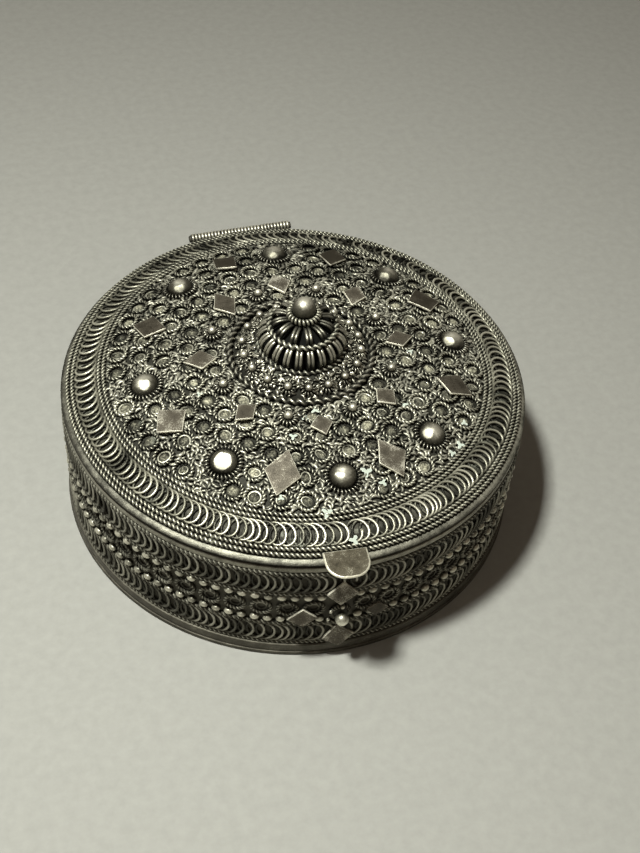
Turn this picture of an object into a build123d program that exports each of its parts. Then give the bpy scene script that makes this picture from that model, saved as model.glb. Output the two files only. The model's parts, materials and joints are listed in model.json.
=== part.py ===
"""Round hinged paan (betel) box of silver sheet, dressed with filigree wire.

Millimetres, +Z up.  The origin is the centre of the base, on the ground.
The hinge is at +Y and the thumb tab at the front, near -Y.
"""
import os
from math import asin, atan2, cos, degrees, hypot, pi, radians, sin, sqrt

from build123d import *

# ---- body: driving sizes ----------------------------------------------------
wall_radius = 59.0           # outside of the sheet wall
wall_thickness = 0.8
base_overhang = 1.8          # of the base plate past the wall
base_thickness = 1.2
body_height = 35.4           # ground to the top of the body
bottom_rim_height = 2.8
bottom_rim_depth = 1.5       # how far each plain rim stands out of the wall
top_rim_height = 2.0
top_rim_depth = 0.8
coil_band_depth = 0.7
bead_size = 1.8              # one bead of the two beaded wires
bead_depth = 1.1
bead_clearance = 0.75        # between the beads and the rings
bead_coil_gap = 0.1          # between the beads and the coil bands
bead_count = 118
wall_ring_radius = 2.75      # twisted-wire rings between the beaded wires
wall_ring_wire = 0.7
wall_ring_depth = 0.8
wall_ring_count = 59
band_flat_count = 48         # flat sides that stand in for the round of a rim or a wire band
rope_flat_count = 24         # and of the finial's thick ropes

# ---- lid: driving sizes -----------------------------------------------------
lid_overhang = 1.0           # of the lid past the wall
lid_rim_width = 1.5
lid_rim_height = 1.4
lid_rise = 8.5               # of the domed sheet's middle over its rim
crown_inset = 21.5           # from the rim to the edge of the sheet's flatter crown
slope_rise = 6.5             # of the slope between them
lid_thickness = 0.7
seam_gap = 0.3               # between the lid's rim and the body
edge_rope_width = 2.5        # pair of fine ropes on each side of the lid's coil
edge_rope_height = 1.0
solder_film = 0.06           # under the bands laid on the domed sheet
lid_coil_width = 5.4
lid_coil_height = 0.9
ring_radius = 2.6            # twisted-wire rings that fill the lid inside its ropes, to their six flats
ring_wire = 0.75
ring_height = 0.75
ring_step = 6.1              # from ring to ring
ring_row_step = 5.9
ring_rows = 5
ring_clearance = 0.1         # from the ornaments

# ---- lid ornaments: driving sizes -------------------------------------------
dome_turns = (3, -4, 0.5, -2, -1, -3.5, 6, 7)                 # degrees off an even spacing:
outer_lozenge_turns = (-1, -1.5, 0.5, -1.5, -2.5, 0, 4.5, 5)  # the ornaments were set by eye
inner_lozenge_turns = (0, -2, 1, 0.5, 2, -5, -0.5, 2.5)
granule_turns = (-1.5, -2.5, 0, 1.5, -4.5, -2, 1, 3.5)
front_turn = -5.1            # degrees from the side opposite the hinge to the front
dome_inset = 7.8             # from the inner ropes to the middle of each ornament
outer_lozenge_inset = 8.8
inner_lozenge_step = 8.7     # from the finial's skirt to the middle of each ornament
granule_step = 6.3
dome_radius = 3.4
dome_height = 3.3
collar_width = 0.9
collar_height = 1.3
outer_lozenge_length = 11.4  # across the points, away from the lid's centre
outer_lozenge_width = 8.4
inner_lozenge_length = 8.0
inner_lozenge_width = 6.4
lozenge_thickness = 1.25     # sheet and the solder bed that lifts it over the wire
granule_radius = 0.95
granule_height = 2.0
granule_collar_radius = 2.45
granule_collar_height = 0.9

# ---- finial: driving sizes --------------------------------------------------
finial_shift = 1.1           # towards +X: the finial and its ornaments stand off the lid's middle
skirt_foot_radius = 17.0
skirt_top_radius = 11.6
skirt_height = 3.2
skirt_thickness = 0.6
skirt_granules = 18          # one on each flat of the skirt
skirt_rosette_radius = 1.85
skirt_rosette_height = 1.6
foot_rope = 1.9              # thicknesses of the three thick ropes
shoulder_rope = 1.2
waist_rope = 1.1
waist_radius = 8.4
lower_tier_height = 4.8
lower_loops = 22
upper_tier_height = 2.7
upper_loops = 12
loop_gap = 0.15              # between neighbouring loops, where they stand closest
loop_wire = 0.9
loop_bow = 1.8               # how far a loop bows out of the line between its ropes
core_clearance = 0.8         # behind the loops
neck_wall = 1.1
neck_height = 1.7
ball_radius = 3.0
ball_rise = 0.6              # ball's centre over the neck's top
ball_flat = 9                # degrees from a ball's pole to the edge of the flat on which it stands

# ---- tab, front ornament and hinge: driving sizes ---------------------------
tab_width = 10.2
tab_lap = 2.6                # over the rim and into a notch in the outer ropes
tab_clearance = 0.2          # from the ropes
tab_reach = 5.2              # past the lid's edge
tab_corner = 4.4
tab_thickness = 0.7
tab_bed = 0.5                # solder between the tab and the rim
stud_drop = 2.1              # below the middle of the gallery
stud_radius = 1.7
stud_collar_radius = 2.9
stud_collar_depth = 1.5
front_lozenge_width = 7.6    # across the points
front_lozenge_height = 7.4
front_lozenge_thickness = 0.6
front_lozenge_bed = 0.15     # solder under the lozenge that lies on the lower coil
front_lozenge_clearance = 0.1   # over the bottom rim
barrel_radius = 1.45
barrel_clearance = 0.05      # from the lid's edge
hinge_shift = 1.3            # towards +X of the line from front to back
side_knuckle = 8.6
middle_knuckle = 11.7
knuckle_gap = 0.15           # between neighbours, along the pin
pin_radius = 0.55
pin_clearance = 0.05         # running fit in the lid's knuckle
pin_head_radius = 0.95
pin_head_height = 0.5

# ---- worked-out places ------------------------------------------------------
front = -90 + front_turn
bottom_rim_top = base_thickness + bottom_rim_height
top_rim_bottom = body_height - top_rim_height
gallery_middle = (bottom_rim_top + top_rim_bottom) / 2
bead_offset = wall_ring_radius + bead_clearance + bead_size / 2
gallery_bottom = gallery_middle - bead_offset - bead_size / 2 - bead_coil_gap
gallery_top = gallery_middle + bead_offset + bead_size / 2 + bead_coil_gap
stud_height = gallery_middle - stud_drop
front_lozenge_step = stud_height - bottom_rim_top - front_lozenge_clearance - front_lozenge_height / 2
lid_radius = wall_radius + lid_overhang
lid_bottom = body_height + seam_gap
lid_top = lid_bottom + lid_rim_height
lid_seat = lid_radius - lid_rim_width
crown_edge = lid_seat - crown_inset
slope_centre = lid_top - (lid_seat**2 - crown_edge**2 - slope_rise**2) / (2 * slope_rise)
slope_radius = hypot(lid_seat, lid_top - slope_centre)
crown_rise = lid_rise - slope_rise
crown_radius = (crown_edge**2 + crown_rise**2) / (2 * crown_rise)
crown_centre = lid_top + lid_rise - crown_radius
coil_outer = lid_seat - edge_rope_width
coil_inner = coil_outer - lid_coil_width
field_outer = coil_inner - edge_rope_width
dome_circle = field_outer - dome_inset
outer_lozenge_circle = field_outer - outer_lozenge_inset
inner_lozenge_circle = skirt_foot_radius + inner_lozenge_step
granule_circle = skirt_foot_radius + granule_step


# ---- helpers ----------------------------------------------------------------
def save(name, *solids):
    """Write one node; a node may hold several separate solids."""
    part = solids[0] if len(solids) == 1 else Compound(children=list(solids))
    part.label = name
    export_step(part, f"parts/{name}.step")


def azimuths(count, turn=0.0):
    """Equally spaced directions round the box, counted from its front."""
    return [front + turn + 360 * i / count for i in range(count)]


def tube(inner, outer, bottom, top):
    """Round sheet-metal ring between two heights."""
    return Pos(0, 0, bottom) * extrude(Circle(outer) - Circle(inner), top - bottom)


def faceted(profile, sides, ring=False):
    """Turned shape with flat sides, through (radius, height) points; a ring's profile closes on itself."""
    corners = [[Vector(radius / cos(pi / sides), 0, height).rotate(Axis.Z, 360 * (i + 0.5) / sides)
                for i in range(sides)] for radius, height in profile]
    stages = zip(corners, corners[1:] + corners[:1] if ring else corners[1:])
    faces = [Face(Wire.make_polygon((low[i - 1], low[i], high[i], high[i - 1])))
             for low, high in stages for i in range(sides)]
    if not ring:
        faces += [Face(Wire.make_polygon(corners[0])), Face(Wire.make_polygon(corners[-1]))]
    return Solid(Shell(faces))


def strip(inner, outer, bottom, top):
    """Upright strip bent into a ring."""
    return faceted([(inner, bottom), (outer, bottom), (outer, top), (inner, top)], band_flat_count, ring=True)


def rope(radius, bottom, thickness):
    """Thick twisted rope bent into a ring."""
    half = thickness / 2
    top = bottom + thickness
    profile = [(radius - half, bottom), (radius + half, bottom),
               (radius + half / 2, top), (radius - half / 2, top)]
    return faceted(profile, rope_flat_count, ring=True)


def ball(radius, sides):
    """Round knob, its centre at the origin."""
    latitudes = [radians(ball_flat + (180 - 2 * ball_flat) * i / 6 - 90) for i in range(7)]
    return faceted([(radius * cos(t), radius * sin(t)) for t in latitudes], sides)


def dome_under(radius):
    """Centre height and radius of the sphere that the lid follows there: its slope's or its crown's."""
    return (slope_centre, slope_radius) if radius > crown_edge else (crown_centre, crown_radius)


def lid_height(radius):
    """Height of the domed sheet's top."""
    centre, curve = dome_under(radius)
    return centre + sqrt(curve**2 - radius**2)


def lid_point(radius, lift=0.0):
    """Point of a lid band's profile, over the film of solder."""
    return radius, lid_height(radius) + solder_film + lift


def lid_band(inner, outer, height):
    """Strip laid on the domed sheet between two radii."""
    profile = [lid_point(inner), lid_point(outer), lid_point(outer, height), lid_point(inner, height)]
    return faceted(profile, band_flat_count, ring=True)


def lid_ropes(inner, outer, height):
    """Pair of fine ropes on the domed sheet, as one ridge."""
    profile = [lid_point(inner), lid_point(outer), lid_point((inner + outer) / 2, height)]
    return faceted(profile, band_flat_count, ring=True)


def on_lid(radius, azimuth, lift=0.0):
    """Seat on the domed sheet: +Z leaves it, +X points down its slope."""
    centre, curve = dome_under(radius)
    tilt = degrees(asin(radius / curve))
    return Pos(0, 0, centre) * Rot(0, 0, azimuth) * Rot(0, tilt, 0) * Pos(0, 0, curve + lift)


def round_finial(radius, azimuth, lift=0.0):
    """Seat on the domed sheet, measured from the finial's middle."""
    x = finial_shift + radius * cos(radians(azimuth))
    y = radius * sin(radians(azimuth))
    return on_lid(hypot(x, y), degrees(atan2(y, x)), lift)


def on_wall(azimuth, height, lift=0.0):
    """Seat on the wall: +Z leaves it and +Y points up."""
    seat = Plane((wall_radius + lift, 0, height), x_dir=(0, 1, 0), z_dir=(1, 0, 0))
    return Rot(0, 0, azimuth) * seat.location


def lozenge(length, width, thickness):
    """Rhombus cut from sheet, its length along X."""
    outline = Polygon((length / 2, 0), (0, width / 2), (-length / 2, 0), (0, -width / 2))
    return extrude(outline, thickness)


def wire_ring(radius, wire, height):
    """Ring of twisted wire, laid flat."""
    return faceted([(radius - wire, 0), (radius, 0), (radius - wire / 2, height)], 6, ring=True)


def loop(foot, top, count):
    """One of a ring of bowed strips of parallel wires, between two (radius, height) points."""
    width = 2 * pi * top[0] / count - loop_gap
    inner = [(foot[0] + (top[0] - foot[0]) * t + loop_bow * sin(pi * t), foot[1] + (top[1] - foot[1]) * t)
             for t in (0, 1 / 2, 1)]
    outer = [(radius + loop_wire, height) for radius, height in reversed(inner)]
    return extrude(Plane.XZ * Polygon(*inner, *outer), width / 2, both=True)


# ---- body -------------------------------------------------------------------
os.makedirs("parts", exist_ok=True)

bottom_rim_outer = wall_radius + bottom_rim_depth
top_rim_outer = wall_radius + top_rim_depth
coil_band_outer = wall_radius + coil_band_depth
save("base_plate", extrude(Circle(wall_radius + base_overhang), base_thickness))
save("body_wall", tube(wall_radius - wall_thickness, wall_radius, base_thickness, body_height))
save("bottom_rim", strip(wall_radius, bottom_rim_outer, base_thickness, bottom_rim_top))
save("top_rim", strip(wall_radius, top_rim_outer, top_rim_bottom, body_height))
save("lower_coil_band", strip(wall_radius, coil_band_outer, bottom_rim_top, gallery_bottom))
save("upper_coil_band", strip(wall_radius, coil_band_outer, gallery_top, top_rim_bottom))


# ---- gallery between the coil bands -----------------------------------------
def clear_of_stud(azimuth, height, reach):
    """True where a piece of the gallery stays outside the stud's collar."""
    sideways = wall_radius * radians((azimuth - front + 180) % 360 - 180)
    return hypot(sideways, height - stud_height) > stud_collar_radius + reach


def bead_row(height):
    """Beads soldered side by side round the wall."""
    tip = bead_size / 2
    bead = Rot(90, 0, 0) * Wedge(bead_size, bead_depth, bead_size, tip, tip, tip, tip,
                                 align=(Align.CENTER, Align.MIN, Align.CENTER))
    return [on_wall(a, height) * bead for a in azimuths(bead_count, 180 / bead_count)
            if clear_of_stud(a, height, bead_size * 0.7)]


save("lower_bead_row", *bead_row(gallery_middle - bead_offset))
save("upper_bead_row", *bead_row(gallery_middle + bead_offset))

wall_ring = wire_ring(wall_ring_radius, wall_ring_wire, wall_ring_depth)
save("wall_ring_row", *[on_wall(a, gallery_middle) * wall_ring for a in azimuths(wall_ring_count)
                        if clear_of_stud(a, gallery_middle, wall_ring_radius)])

# ---- front ornament: a stud in a cross of four lozenges ---------------------
stud_seat = on_wall(front, stud_height)
collar = faceted([(stud_collar_radius, 0), (stud_collar_radius * 0.9, stud_collar_depth)], 10)
stud = Pos(0, 0, stud_collar_depth + stud_radius * cos(radians(ball_flat))) * ball(stud_radius, 8)
save("stud_collar", stud_seat * collar)
save("stud", stud_seat * stud)

side_turn = degrees(front_lozenge_step / wall_radius)
coil_lift = coil_band_depth + front_lozenge_bed
front_plate = lozenge(front_lozenge_width, front_lozenge_height, front_lozenge_thickness)
save("front_lozenges", *[on_wall(front + turn, stud_height + rise, lift) * front_plate
                         for turn, rise, lift in ((0, front_lozenge_step, bead_depth),
                                                  (0, -front_lozenge_step, coil_lift),
                                                  (side_turn, 0, bead_depth), (-side_turn, 0, bead_depth))])

# ---- hinge ------------------------------------------------------------------
hinge_height = (body_height + lid_bottom) / 2
hinge_reach = lid_radius + barrel_clearance + barrel_radius
middle_half = middle_knuckle / 2
side_start = middle_half + knuckle_gap
side_end = side_start + side_knuckle


def along_hinge(radius, start, end):
    """Cylinder on the hinge's axis between two places along it."""
    turned = Plane((hinge_shift + start, hinge_reach, hinge_height), x_dir=(0, 1, 0), z_dir=(1, 0, 0))
    return turned.location * extrude(Circle(radius), end - start)


def knuckle(start, end, bore, rim_radius, low, high):
    """Barrel with the solder bed that joins it to the rim behind it."""
    bed = Pos(hinge_shift + (start + end) / 2, hinge_reach - barrel_radius, (low + high) / 2) * Box(
        end - start, 2 * barrel_radius, high - low)
    rim = faceted([(rim_radius, low), (rim_radius, high)], band_flat_count)
    return along_hinge(barrel_radius, start, end) + (bed - rim) - along_hinge(bore, start, end)


bed_low = hinge_height - barrel_radius * 0.8
bed_high = hinge_height + barrel_radius * 0.8
body_side = (pin_radius, top_rim_outer, bed_low, body_height)
save("hinge_side_knuckles", knuckle(side_start, side_end, *body_side),
     knuckle(-side_end, -side_start, *body_side))
save("hinge_middle_knuckle", knuckle(-middle_half, middle_half, pin_radius + pin_clearance,
                                     lid_radius, lid_bottom, bed_high))
save("hinge_pin", along_hinge(pin_radius, -side_end, side_end)
     + along_hinge(pin_head_radius, side_end, side_end + pin_head_height)
     + along_hinge(pin_head_radius, -side_end - pin_head_height, -side_end))


# ---- lid: sheet, rim, coil and ropes ----------------------------------------
def lid_blank(sheet):
    """Solid below the domed sheet's top, or below the face `sheet` under it."""
    slope, crown = [Pos(0, 0, centre) * Rot(0, 90, 0) * Sphere(curve - sheet)
                    for centre, curve in ((slope_centre, slope_radius), (crown_centre, crown_radius))]
    return Pos(0, 0, lid_bottom) * extrude(Circle(lid_seat), 2 * lid_rise) & slope & crown


save("lid_sheet", lid_blank(0) - lid_blank(lid_thickness))
save("lid_rim", strip(lid_seat, lid_radius, lid_bottom, lid_top))
tab_notch = Rot(0, 0, front) * Pos(lid_radius - tab_lap / 2 - tab_clearance, 0, lid_top) * Box(
    tab_lap, tab_width + 2 * tab_clearance, 2 * lid_rise)
save("lid_outer_ropes", lid_ropes(coil_outer, lid_seat, edge_rope_height) - tab_notch)
save("lid_coil_band", lid_band(coil_inner, coil_outer, lid_coil_height))
save("lid_inner_ropes", lid_ropes(field_outer, coil_inner, edge_rope_height))


# ---- lid: domes, granules and lozenges --------------------------------------
def set_by_eye(turns, half_steps):
    """Directions of the ornaments on one circle; `half_steps` of 1 puts them between the domes."""
    even = azimuths(len(turns), 180 / len(turns) * half_steps)
    return [azimuth + turn for azimuth, turn in zip(even, turns)]


dome_azimuths = set_by_eye(dome_turns, 0)
inner_lozenge_azimuths = set_by_eye(inner_lozenge_turns, 0)
outer_lozenge_azimuths = set_by_eye(outer_lozenge_turns, 1)
granule_azimuths = set_by_eye(granule_turns, 1)

dome = faceted([(dome_radius * cos(radians(t)), dome_height * sin(radians(t))) for t in (0, 40, 80)], 8)
collar_outer = dome_radius + collar_width
dome_collar = faceted([(dome_radius, 0), (collar_outer, 0), (dome_radius + collar_width / 2, collar_height)],
                      8, ring=True)
dome_collars = [round_finial(dome_circle, a) * dome_collar for a in dome_azimuths]
save("domes", *[round_finial(dome_circle, a) * dome for a in dome_azimuths])
save("dome_collars", *dome_collars)

granule_collar = faceted([(granule_collar_radius, 0),
                          (granule_collar_radius * 0.85, granule_collar_height)], 6)
granule = faceted([(granule_radius * 0.8, 0), (granule_radius, granule_height / 4),
                   (granule_radius * 0.5, granule_height - granule_collar_height)], 6)
granule_collars = [round_finial(granule_circle, a) * granule_collar for a in granule_azimuths]
save("granule_collars", *granule_collars)
save("granules", *[round_finial(granule_circle, a, granule_collar_height) * granule
                   for a in granule_azimuths])

outer_plate = lozenge(outer_lozenge_length, outer_lozenge_width, lozenge_thickness)
inner_plate = lozenge(inner_lozenge_length, inner_lozenge_width, lozenge_thickness)
outer_lozenges = [round_finial(outer_lozenge_circle, a) * outer_plate for a in outer_lozenge_azimuths]
inner_lozenges = [round_finial(inner_lozenge_circle, a) * inner_plate for a in inner_lozenge_azimuths]
save("outer_lozenges", *outer_lozenges)
save("inner_lozenges", *inner_lozenges)

# ---- finial: skirt with its granules ----------------------------------------
finial_axis = Pos(finial_shift, 0, 0)
skirt_foot = lid_height(skirt_foot_radius - skirt_thickness - finial_shift)
skirt_top = skirt_foot + skirt_height
skirt_slope = degrees(atan2(skirt_height, skirt_foot_radius - skirt_top_radius))
skirt_outside = faceted([(skirt_foot_radius, skirt_foot), (skirt_top_radius, skirt_top)], skirt_granules)
skirt_inside = faceted([(skirt_foot_radius - skirt_thickness, skirt_foot),
                        (skirt_top_radius - skirt_thickness, skirt_top - skirt_thickness)], skirt_granules)
save("finial_skirt", finial_axis * (skirt_outside - skirt_inside))

skirt_middle = Pos((skirt_foot_radius + skirt_top_radius) / 2, 0, (skirt_foot + skirt_top) / 2)
rosette = faceted([(skirt_rosette_radius, 0), (granule_radius, collar_height / 2),
                   (granule_radius * 0.6, skirt_rosette_height)], 5)
skirt_seats = [finial_axis * Rot(0, 0, 360 * i / skirt_granules) * skirt_middle * Rot(0, skirt_slope, 0)
               for i in range(skirt_granules)]
save("skirt_granules", *[seat * rosette for seat in skirt_seats])

# ---- finial: ropes, loops, core and ball ------------------------------------
foot_rope_radius = (skirt_foot_radius + foot_rope / 2) / cos(pi / skirt_granules)
shoulder_radius = skirt_top_radius - shoulder_rope / 2
waist_bottom = skirt_top + shoulder_rope + lower_tier_height
waist_top = waist_bottom + waist_rope
neck_bottom = waist_top + upper_tier_height
neck_top = neck_bottom + neck_height
neck_radius = ball_radius + neck_wall
foot_rope_seat = lid_height(foot_rope_radius - foot_rope / 2 - finial_shift)
foot_rope_ring = finial_axis * rope(foot_rope_radius, foot_rope_seat, foot_rope)
save("finial_foot_rope", foot_rope_ring)
save("finial_shoulder_rope", finial_axis * rope(shoulder_radius, skirt_top, shoulder_rope))
save("finial_waist_rope", finial_axis * rope(waist_radius, waist_bottom, waist_rope))

lower_foot = (shoulder_radius - loop_wire / 2, skirt_top + shoulder_rope)
lower_top = (waist_radius - loop_wire / 2, waist_bottom)
upper_foot = (waist_radius - loop_wire / 2, waist_top)
upper_top = (neck_radius - loop_wire * 1.2, neck_bottom)
lower_loop = loop(lower_foot, lower_top, lower_loops)
upper_loop = loop(upper_foot, upper_top, upper_loops)
save("finial_lower_loops", *[finial_axis * Rot(0, 0, a) * lower_loop for a in azimuths(lower_loops)])
save("finial_upper_loops", *[finial_axis * Rot(0, 0, a) * upper_loop for a in azimuths(upper_loops)])

neck = faceted([(ball_radius, neck_bottom), (neck_radius, neck_bottom), (neck_radius, neck_top),
                (ball_radius, neck_top)], 12, ring=True)
ball_centre = neck_top + ball_rise
save("finial_neck", finial_axis * neck)
save("finial_ball", finial_axis * Pos(0, 0, ball_centre) * ball(ball_radius, 12))

core_top = ball_centre - ball_radius * cos(radians(ball_flat))
core = faceted([(lower_foot[0] - core_clearance, skirt_top), (lower_top[0] - core_clearance, waist_bottom),
                (upper_top[0] - core_clearance, core_top)], 18)
save("finial_core", finial_axis * core)

# ---- lid: rings that fill it round the ornaments and the finial -------------
wire_ring_solid = wire_ring(ring_radius, ring_wire, ring_height)
ring_reach = ring_radius / cos(pi / 6) + ring_clearance
obstacles = [*dome_collars, *granule_collars, *outer_lozenges, *inner_lozenges, foot_rope_ring]


def ring_row(circle):
    """Seats of the rings on one circle that stay clear of what stands on the lid."""
    seats = [on_lid(circle, a) for a in azimuths(int(2 * pi * circle / ring_step))]
    return [seat for seat in seats
            if min(Vertex(*seat.position).distance_to(obstacle) for obstacle in obstacles) > ring_reach]


ring_circles = [field_outer - ring_radius - ring_row_step * i for i in range(ring_rows)]
save("border_rings", *[seat * wire_ring_solid for circle in ring_circles for seat in ring_row(circle)])

# ---- thumb tab --------------------------------------------------------------
tab_length = tab_lap + tab_reach
tab = extrude(Rectangle(tab_length, tab_width), tab_thickness)
tab = fillet(tab.edges().filter_by(Axis.Z).sort_by(Axis.X)[-2:], tab_corner)
bed = extrude(Rectangle(lid_rim_width - tab_clearance, tab_width - tab_corner), tab_bed)
tab_on_bed = Pos(tab_length / 2 - tab_lap, 0, tab_bed) * tab + Pos(-lid_rim_width / 2, 0, 0) * bed
save("thumb_tab", Rot(0, 0, front) * Pos(lid_radius, 0, lid_top) * tab_on_bed)
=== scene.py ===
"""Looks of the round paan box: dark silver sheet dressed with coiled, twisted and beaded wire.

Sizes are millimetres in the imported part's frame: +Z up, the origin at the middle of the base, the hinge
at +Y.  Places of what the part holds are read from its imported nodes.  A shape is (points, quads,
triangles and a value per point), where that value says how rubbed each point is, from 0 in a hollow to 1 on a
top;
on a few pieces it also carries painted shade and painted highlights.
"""
import json
from math import atan2, cos, degrees, hypot, pi, radians, sin

import bpy
import numpy as np
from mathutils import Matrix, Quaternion, Vector
from numpy.linalg import norm


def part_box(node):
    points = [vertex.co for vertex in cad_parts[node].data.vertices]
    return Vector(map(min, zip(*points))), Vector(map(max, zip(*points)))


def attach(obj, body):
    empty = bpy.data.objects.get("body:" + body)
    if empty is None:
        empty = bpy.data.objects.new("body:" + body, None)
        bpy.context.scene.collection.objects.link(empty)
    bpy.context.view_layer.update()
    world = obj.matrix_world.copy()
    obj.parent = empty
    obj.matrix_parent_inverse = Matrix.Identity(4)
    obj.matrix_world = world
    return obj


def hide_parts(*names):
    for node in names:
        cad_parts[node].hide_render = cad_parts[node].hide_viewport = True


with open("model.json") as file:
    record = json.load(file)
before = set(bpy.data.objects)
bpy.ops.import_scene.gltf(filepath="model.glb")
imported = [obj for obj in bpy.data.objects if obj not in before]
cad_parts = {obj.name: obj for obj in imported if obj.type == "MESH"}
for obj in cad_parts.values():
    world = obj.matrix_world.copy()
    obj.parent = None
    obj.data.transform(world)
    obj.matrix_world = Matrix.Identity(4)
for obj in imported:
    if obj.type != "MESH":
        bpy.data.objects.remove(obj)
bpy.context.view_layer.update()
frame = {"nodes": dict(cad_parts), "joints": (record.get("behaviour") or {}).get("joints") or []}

MM = 0.001
chance = np.random.default_rng(11)

# ---- sizes that the part does not hold: sheet, rims, hinge and tab ----
crown_inset = 21.5  # from the lid's rim to the edge of the sheet's flatter crown
slope_rise = 6.5  # of the slope between them
sheet_thickness = 0.7
lining = 0.12  # bright face of the sheet on the inside
seam = 0.38  # by which the worn edges of the lid and the wall draw back from each other
rim_root = 0.2  # by which the wall's rims reach into it
inside_flats = 0.02  # by which the widest rounds stay inside their flat-sided CAD nodes
pole = 0.4  # radius at which the base closes
lid_pole = 0.5  # and the lid
round_steps = 240  # round the wall and the lid
rib_pitch = 0.95  # of the wire wound on the hinge
rib_depth = 0.28
knuckle_gap = 0.15
tab_thickness = 0.75
tab_corner = 4.4
lid_rim_overlap = 1.3  # of the solder under the tab

# ---- ropes and coils ----
fine_rope = 1.22  # thickness of the fine two-strand ropes
fine_pitch = 2.4  # length of one turn of their strands
foot_pitch = 4.4  # and of those of the finial's foot rope
finial_pitch = 3.2  # and of its other ropes
rope_notch = 0.098  # half the angle that the edge rope leaves free for the tab, in radians
coil_wire = 0.68  # diameter of the flattened coils' wire
coil_reach = 2.4  # of a coil's loop along its band
coil_steps = 24  # along one loop
# from loop to loop of the coils, by azimuth in degrees: the lid's is tighter along its front left
lid_coil_pitch = ((0, 180, 200, 292, 325, 360), (2.12, 1.08 * 2.12, 1.82, 1.82, 2.12, 2.12))
wall_coil_pitch = ((0, 360), (2.05, 2.05))
loop_wire = 0.84  # of the finial's loops, which stand in pairs
loop_pair = 1.05  # between a pair's wires

# ---- rings, bits of wire and beads ----
ring_outer = 2.92  # radius of the twisted-wire rings
ring_wire = 1.12  # and their thickness
ring_bumps = 15
inner_ring_radius = 1.28  # plain ring inside a twisted one
inner_ring_wire = 0.54
wall_inner_ring_wire = 0.5
ring_pitch = 6.1  # from ring to ring along a row
ring_row_pitch = 5.9
dome_room = 4.8  # radius that the rings leave free for a dome's collar
granule_room = 2.7  # and for a granule's
bit_thickness = 0.74  # of the bits of wire that fill the gaps between the rings
bit_spacing = 1.05
skirt_bits = 620
bead_sunk = 0.35  # of the wall's beads in the wall
bead_stretch = 1.35  # of their length over their height

# ---- lozenges, deposits and domes ----
plate_thickness = 0.65  # of the lozenges
plate_lift = 1.4  # of the lid's lozenges over its sheet
front_plate_lift = 1.6  # and of the front's over the wall
front_lean = 10  # degrees by which those lean back
# the lozenges, by azimuth: length from the lid's middle outwards, width, turn in degrees, added wear
outer_plates = ((10.0, 9.4, -14, -0.25), (9.0, 7.6, 4, -0.25), (9.2, 7.8, 20, -0.2), (9.4, 7.6, -3, -0.15),
                (9.8, 9.0, 4, 0.05), (12.2, 8.8, -8, 0.0), (11.4, 7.8, 1, 0.1), (10.4, 7.4, -10, -0.15))
inner_plates = ((7.8, 6.0, 22, 0.1), (8.6, 6.4, 14, 0.2), (9.6, 6.4, -10, 0.0), (8.4, 6.6, -3, 0.0),
                (7.0, 5.9, -15, -0.05), (6.4, 5.9, 6, -0.05), (7.2, 6.2, -12, 0.0), (7.8, 5.6, 8, -0.05))
# and those of the front, from the left: width, height, turn and added wear of left, bottom, top and right
front_plates = ((7.4, 5.6, 4, 0.28), (7.8, 7.4, 3, 0.32), (8.0, 7.6, -3, 0.38), (6.2, 4.4, -14, 0.2))
front_grains = ((-2.4, 1.3), (-2.9, -1.9), (0.3, 2.5))  # to the side of the stud and above it
# pale deposits on the lid (x, y, size), and how deep the domes' tops are worn flat, by azimuth
deposits = ((-6.6, -48.0, 1.3), (-2.2, -55.4, 1.2), (5.4, -40.2, 1.4), (-1.3, -20.4, 1.1), (-8.8, -26.9, 1.0),
            (31.1, -36.1, 1.1), (28.3, -38.2, 0.9), (-4.4, -22.2, 0.8), (20.9, -23.1, 0.9), (28.6, -5.9, 0.9),
            (-27.2, -8.1, 0.8), (8.6, -43.5, 1.0), (34.5, -30.0, 0.9), (-16.0, -42.0, 0.8))
dome_flats = (0.26, 0.24, 0.3, 0.22, 0.65, 0.05, 0.28, 0.32)

# ---- looks, light and camera ----
dust_colour = (0.40, 0.41, 0.33)
floor_colour = (0.34, 0.335, 0.31)
key_place = (-130.0, -40.0, 470.0)  # of the key lamp
eye_place = (-75.78, -219.56, 273.26)  # of the camera


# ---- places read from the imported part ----
def span(node):
    """Lowest and highest corner of a CAD node."""
    low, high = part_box(node)
    return np.array(low) / MM, np.array(high) / MM


def islands(node):
    """Middles of a CAD node's separate solids, in the order of their azimuths."""
    mesh = frame["nodes"][node].data
    spot = [tuple(round(c / MM, 3) for c in v.co) for v in mesh.vertices]
    leader = {s: s for s in spot}

    def find(s):
        while leader[s] != s:
            leader[s] = leader[leader[s]]
            s = leader[s]
        return s

    for face in mesh.polygons:
        first, *others = [find(spot[i]) for i in face.vertices]
        for other in others:
            leader[find(other)] = find(first)
    groups = {}
    for s in leader:
        groups.setdefault(find(s), []).append(s)
    middles = [(np.min(g, axis=0) + np.max(g, axis=0)) / 2 for g in groups.values()]
    return sorted(middles, key=lambda middle: atan2(middle[1], middle[0]) % (2 * pi))


def directions(node, axis=(0.0, 0.0)):
    """Azimuths of a CAD node's separate solids about an upright axis, in order, in radians."""
    return sorted(atan2(middle[1] - axis[1], middle[0] - axis[0]) for middle in islands(node))


def middle_of(node):
    low, high = span(node)
    return (low + high) / 2


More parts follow.
